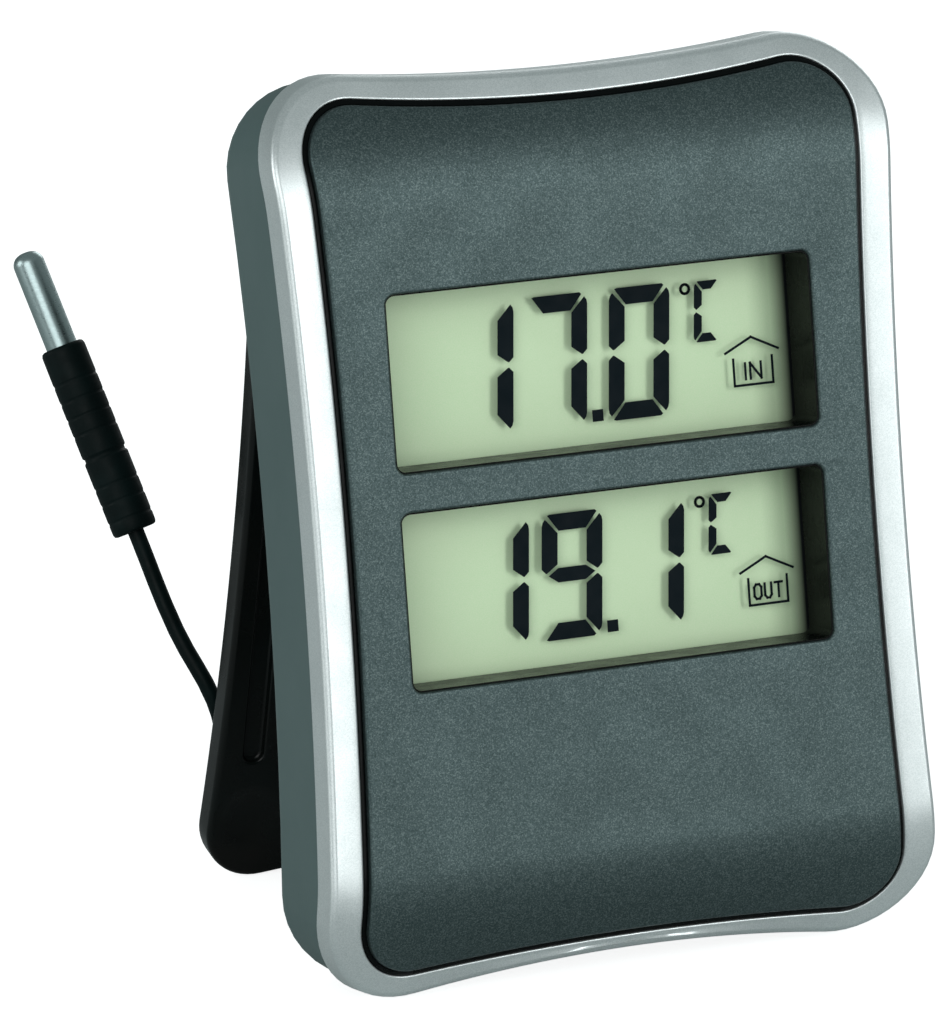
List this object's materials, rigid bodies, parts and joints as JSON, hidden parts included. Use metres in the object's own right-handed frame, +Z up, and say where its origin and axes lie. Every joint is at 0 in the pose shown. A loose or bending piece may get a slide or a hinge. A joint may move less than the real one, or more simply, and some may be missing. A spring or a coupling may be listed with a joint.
{
  "type": "maximum minimum thermometer",
  "caption": "Free-standing digital maximum minimum thermometer with indoor and outdoor displays, a fold-out stand and a wired outdoor probe.",
  "frame": {"origin": "middle of the base of the case and its open stand, on the table", "axes": "+Z up, -Y the way the displays face, +X to the right as the displays are read"},
  "size_m": [0.0933, 0.1085, 0.0996],
  "materials": {
    "bezel_silver": "satin silver lacquer on moulded plastic",
    "panel_anthracite": "anthracite lacquer with a fine metallic sparkle",
    "shell_grey": "satin dark grey moulding",
    "stand_black": "smooth satin black moulding",
    "carrier_black": "matte black moulding",
    "display": "reflective liquid crystal display",
    "board": "solder resist green",
    "black_parts": "epoxy black",
    "spring_steel": "plated",
    "tip_steel": "polished stainless steel",
    "cell_jacket": "plain printed jacket",
    "button_grey": "satin light grey moulding",
    "rubber_black": "matte black rubber",
    "cable_black": "satin black cable jacket",
    "wire_red": "red wire",
    "tie_white": "white twist tie"
  },
  "bodies": {
    "case": {"front_bezel": "bezel_silver", "front_panel": "panel_anthracite", "display_carrier": "carrier_black", "display_glass": "display", "contact_strip_upper": "rubber_black", "contact_strip_lower": "rubber_black", "main_board": "board", "controller_chip": "black_parts", "air_sensor": "black_parts", "max_min_click_switch": "black_parts", "reset_click_switch": "black_parts", "unit_switch_body": "spring_steel", "aaa_cell": "cell_jacket", "positive_contact": "spring_steel", "negative_spring": "spring_steel", "battery_wire_positive": "wire_red", "battery_wire_negative": "black_parts", "rear_shell": "shell_grey", "cable_grommet": "rubber_black", "sensor_cable_inner_lead": "cable_black", "case_screw_1": "spring_steel", "case_screw_2": "spring_steel", "case_screw_3": "spring_steel", "case_screw_4": "spring_steel", "board_screw_1": "spring_steel", "board_screw_2": "spring_steel", "sensor_cable_case_run": "cable_black", "sensor_cable_coil": "cable_black", "coil_tie": "tie_white", "sensor_cable_probe_run": "cable_black", "probe_sleeve": "rubber_black", "probe_tip": "tip_steel", "probe_sensor_bead": "black_parts"},
    "stand": {"stand_leg": "stand_black"},
    "battery_door": {"battery_door": "shell_grey"},
    "max_min_button": {"max_min_button": "button_grey"},
    "reset_button": {"reset_button": "button_grey"},
    "unit_slider": {"unit_slider": "button_grey"}
  },
  "joints": [
    {"name": "stand_hinge", "type": "hinge", "parent": "case", "child": "stand", "pos_m": [0, 0.00518, 0.08346], "axis": [-1, 0, 0], "range_deg": [0, 23.8]},
    {"name": "battery_door_hinge", "type": "hinge", "parent": "case", "child": "battery_door", "pos_m": [0, -0.00585, 0.0135], "axis": [-1, 0, 0], "range_deg": [0, 75]},
    {"name": "max_min_press", "type": "slide", "parent": "case", "child": "max_min_button", "axis": [0, -0.9833, 0.1822], "range_m": [0, 0.0006], "stiffness_N_per_m": 300},
    {"name": "reset_press", "type": "slide", "parent": "case", "child": "reset_button", "axis": [0, -0.9833, 0.1822], "range_m": [0, 0.0006], "stiffness_N_per_m": 300},
    {"name": "unit_slide", "type": "slide", "parent": "case", "child": "unit_slider", "axis": [1, 0, 0], "range_m": [0, 0.002]}
  ]
}
